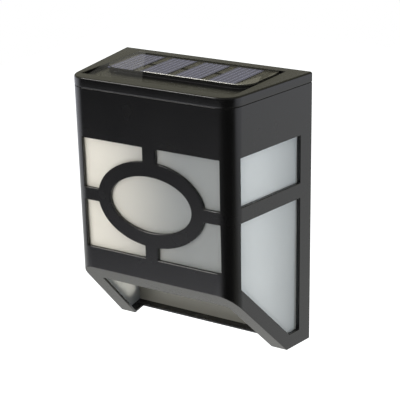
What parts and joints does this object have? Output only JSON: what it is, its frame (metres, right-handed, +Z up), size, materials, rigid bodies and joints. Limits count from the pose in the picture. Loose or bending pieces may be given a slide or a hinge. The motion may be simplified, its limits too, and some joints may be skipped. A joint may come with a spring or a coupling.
{
  "type": "solar fence light",
  "caption": "Box-shaped outdoor wall light with a solar head, a barred front round an oval ring, frosted windows and a slanted open underside.",
  "frame": {"origin": "on the wall plane, midway between the two hanging holes", "axes": "+X to the viewer's right, +Y into the wall, +Z up; the front faces -Y"},
  "size_m": [0.1052, 0.059, 0.1357],
  "materials": {
    "black_shell": "satin",
    "black_tray": "satin",
    "frosted_liner": "frosted",
    "foam_tape": "matte",
    "panel_board": "matte",
    "solar_cell": "glossy",
    "clear_resin": "glossy",
    "film": "glossy",
    "tinned_metal": "satin",
    "steel": "satin",
    "contact_metal": "glossy",
    "battery_jacket": "glossy",
    "circuit_board": "satin",
    "lamp_lens": "glossy",
    "chip_black": "matte",
    "coil_green": "satin",
    "lead_jacket": "matte"
  },
  "bodies": {
    "housing": {"housing": "black_shell", "diffuser_liner": "frosted_liner"},
    "head": {"lid": "black_shell", "panel_adhesive": "foam_tape", "panel_board": "panel_board", "solar_cells": "solar_cell", "cell_ribbons": "tinned_metal", "panel_resin": "clear_resin", "panel_film": "film", "tray": "black_tray", "tray_screws": "steel", "battery_cell": "battery_jacket", "contact_plate": "contact_metal", "spring_plate": "contact_metal", "contact_spring": "contact_metal", "circuit_board": "circuit_board", "board_screws": "steel", "leds": "lamp_lens", "led_legs": "tinned_metal", "switch_body": "steel", "driver_chip": "chip_black", "inductor": "coil_green", "panel_leads": "lead_jacket", "battery_leads": "lead_jacket"},
    "battery_hatch": {"battery_door": "black_tray", "door_screw": "steel"},
    "switch": {"switch_slider": "black_tray"}
  },
  "joints": [
    {"name": "head_lift", "type": "slide", "parent": "housing", "child": "head", "axis": [0, 0, 1], "range_m": [0, 0.03]},
    {"name": "door_drop", "type": "slide", "parent": "head", "child": "battery_hatch", "axis": [0, 0, -1], "range_m": [0, 0.012]},
    {"name": "switch_slide", "type": "slide", "parent": "head", "child": "switch", "axis": [1, 0, 0], "range_m": [0, 0.002]}
  ]
}
